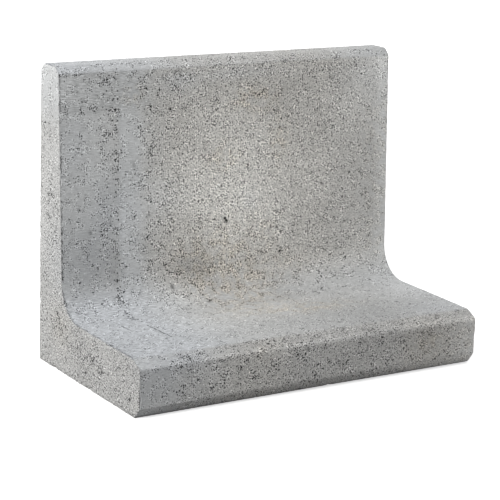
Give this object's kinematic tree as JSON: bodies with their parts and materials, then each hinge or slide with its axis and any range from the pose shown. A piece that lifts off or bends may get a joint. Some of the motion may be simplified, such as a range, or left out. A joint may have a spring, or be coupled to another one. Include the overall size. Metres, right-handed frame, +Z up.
{
  "type": "l-shaped retaining wall block",
  "caption": "One-piece concrete L-shaped retaining wall block: tapering upright stem, rounded haunch and a foot with bevelled toe that sits under the retained soil.",
  "frame": {"origin": "on the ground, at the middle of the length and of the depth", "axes": "+X along the length, +Y from the toe of the foot to the exposed back of the stem, +Z up"},
  "size_m": [0.386, 0.21, 0.3],
  "materials": {
    "concrete": "matt grey no-slump concrete with fine pits and smoother cement-rich bands"
  },
  "bodies": {
    "root": {"retaining_block": "concrete"}
  },
  "joints": []
}
